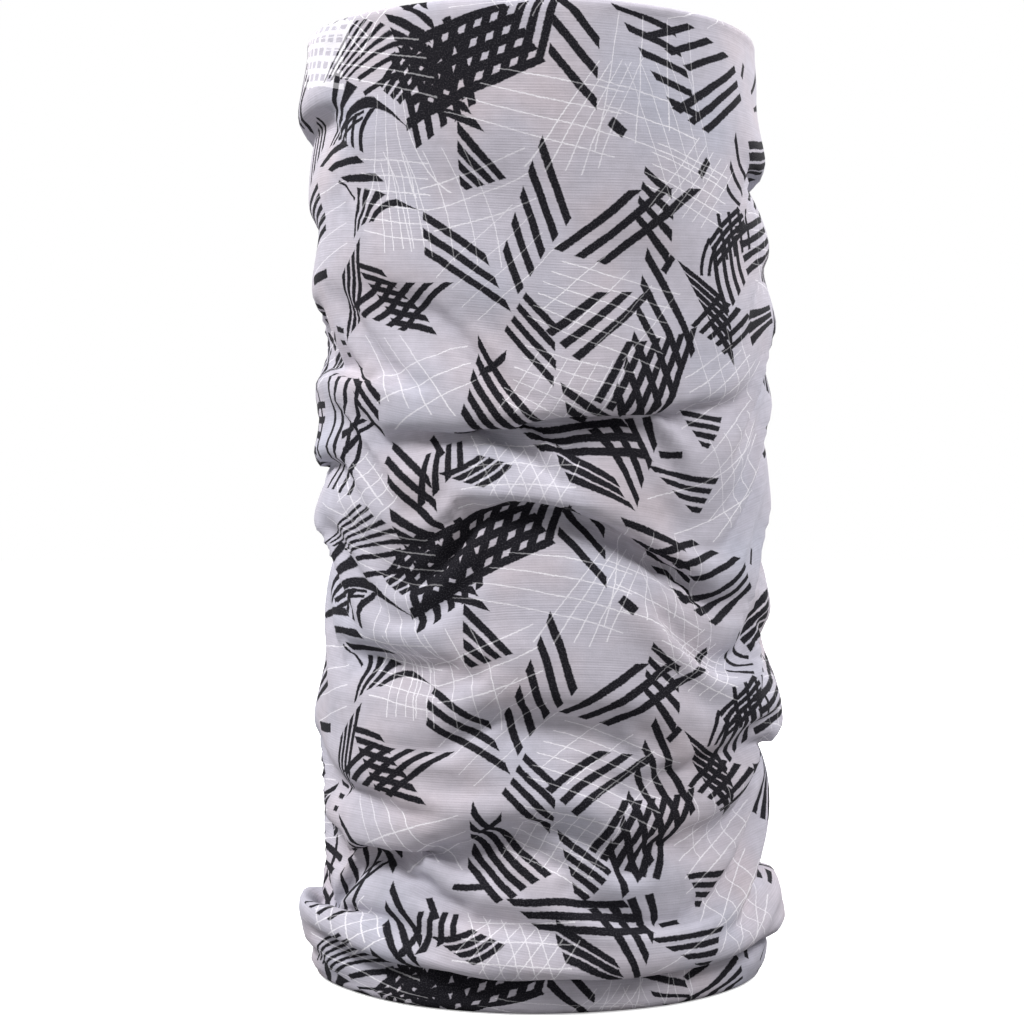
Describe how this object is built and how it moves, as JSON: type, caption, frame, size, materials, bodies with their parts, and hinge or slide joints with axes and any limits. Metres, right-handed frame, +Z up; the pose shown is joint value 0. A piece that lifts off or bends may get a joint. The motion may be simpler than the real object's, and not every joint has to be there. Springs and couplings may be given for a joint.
{
  "type": "neck gaiter",
  "caption": "Seamless tubular knit neck gaiter standing in soft horizontal folds, both ends turned inside, with a printed brush-stroke pattern.",
  "frame": {"origin": "centre of the bottom rim, at the height of its flat underside", "axes": "+Z up along the tube's axis, -Y towards the front, +Y towards the centre back where the care label hangs"},
  "size_m": [0.1636, 0.1596, 0.318],
  "materials": {
    "printed_knit": "matt microfibre jersey, lilac-grey ground with charcoal brush strokes and thin white lines",
    "dark_thread": "fine spun polyester sewing thread",
    "label_satin": "blank woven satin ribbon"
  },
  "bodies": {
    "bottom": {"bottom_band": "printed_knit", "bottom_needle_thread": "dark_thread", "bottom_upper_looper_thread": "dark_thread", "bottom_lower_looper_thread": "dark_thread"},
    "lower": {"lower_tier": "printed_knit"},
    "middle": {"middle_tier": "printed_knit"},
    "top": {"top_tier": "printed_knit", "top_needle_thread": "dark_thread", "top_upper_looper_thread": "dark_thread", "top_lower_looper_thread": "dark_thread", "label_tack_thread": "dark_thread"},
    "label": {"care_label": "label_satin"}
  },
  "joints": [
    {"name": "pull_up", "type": "slide", "parent": "bottom", "child": "top", "axis": [0, 0, 1], "range_m": [-0.04, 0.07]},
    {"name": "middle_unfold", "type": "slide", "parent": "bottom", "child": "middle", "axis": [0, 0, 1], "range_m": [-0.024, 0.042]},
    {"name": "lower_unfold", "type": "slide", "parent": "bottom", "child": "lower", "axis": [0, 0, 1], "range_m": [-0.008, 0.014]},
    {"name": "label_flap", "type": "hinge", "parent": "top", "child": "label", "pos_m": [0, 0.06959, 0.267], "axis": [-1, 0, 0], "range_deg": [0, 100]}
  ],
  "couplings": [
    {"joint": "middle_unfold", "follows": "pull_up", "ratio": 0.6},
    {"joint": "lower_unfold", "follows": "pull_up", "ratio": 0.2}
  ]
}
